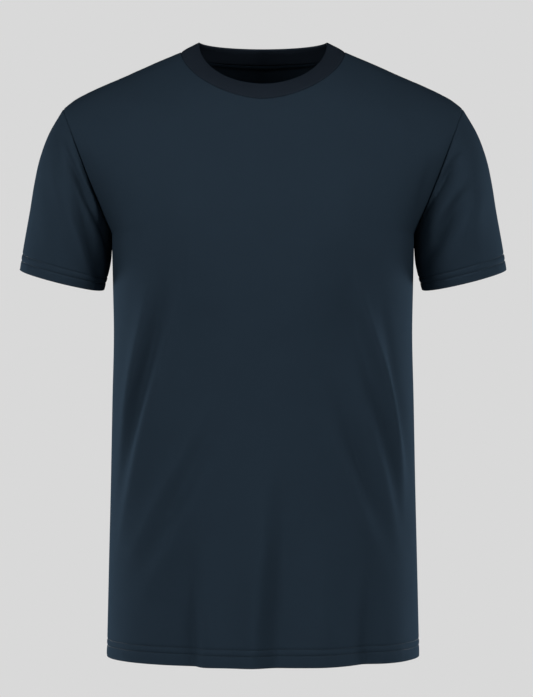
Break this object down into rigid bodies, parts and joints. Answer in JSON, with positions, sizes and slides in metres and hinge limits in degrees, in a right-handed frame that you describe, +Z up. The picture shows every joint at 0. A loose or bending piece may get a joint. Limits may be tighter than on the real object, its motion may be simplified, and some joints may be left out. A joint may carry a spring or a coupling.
{
  "type": "crew neck t-shirt",
  "caption": "Plain short-sleeved crew neck t-shirt in dark jersey, in its worn, hollow form, with a ribbed neckband, set-in sleeves and stitched hems.",
  "frame": {"origin": "midway between the two neck points, where the shoulder seams meet the neckband: the wearer's shoulders carry the shirt from there", "axes": "+Z up along the wearer's body, +X towards the wearer's left, -Y to the front"},
  "size_m": [0.5656, 0.2553, 0.714],
  "materials": {
    "jersey": "matt fine jersey knit, dark navy",
    "rib": "matt fine rib knit, dark navy",
    "thread": "sewing thread, a shade darker than the cloth"
  },
  "bodies": {
    "root": {"front": "jersey", "back": "jersey", "sleeve_left": "jersey", "sleeve_right": "jersey", "neckband": "rib"}
  },
  "joints": []
}
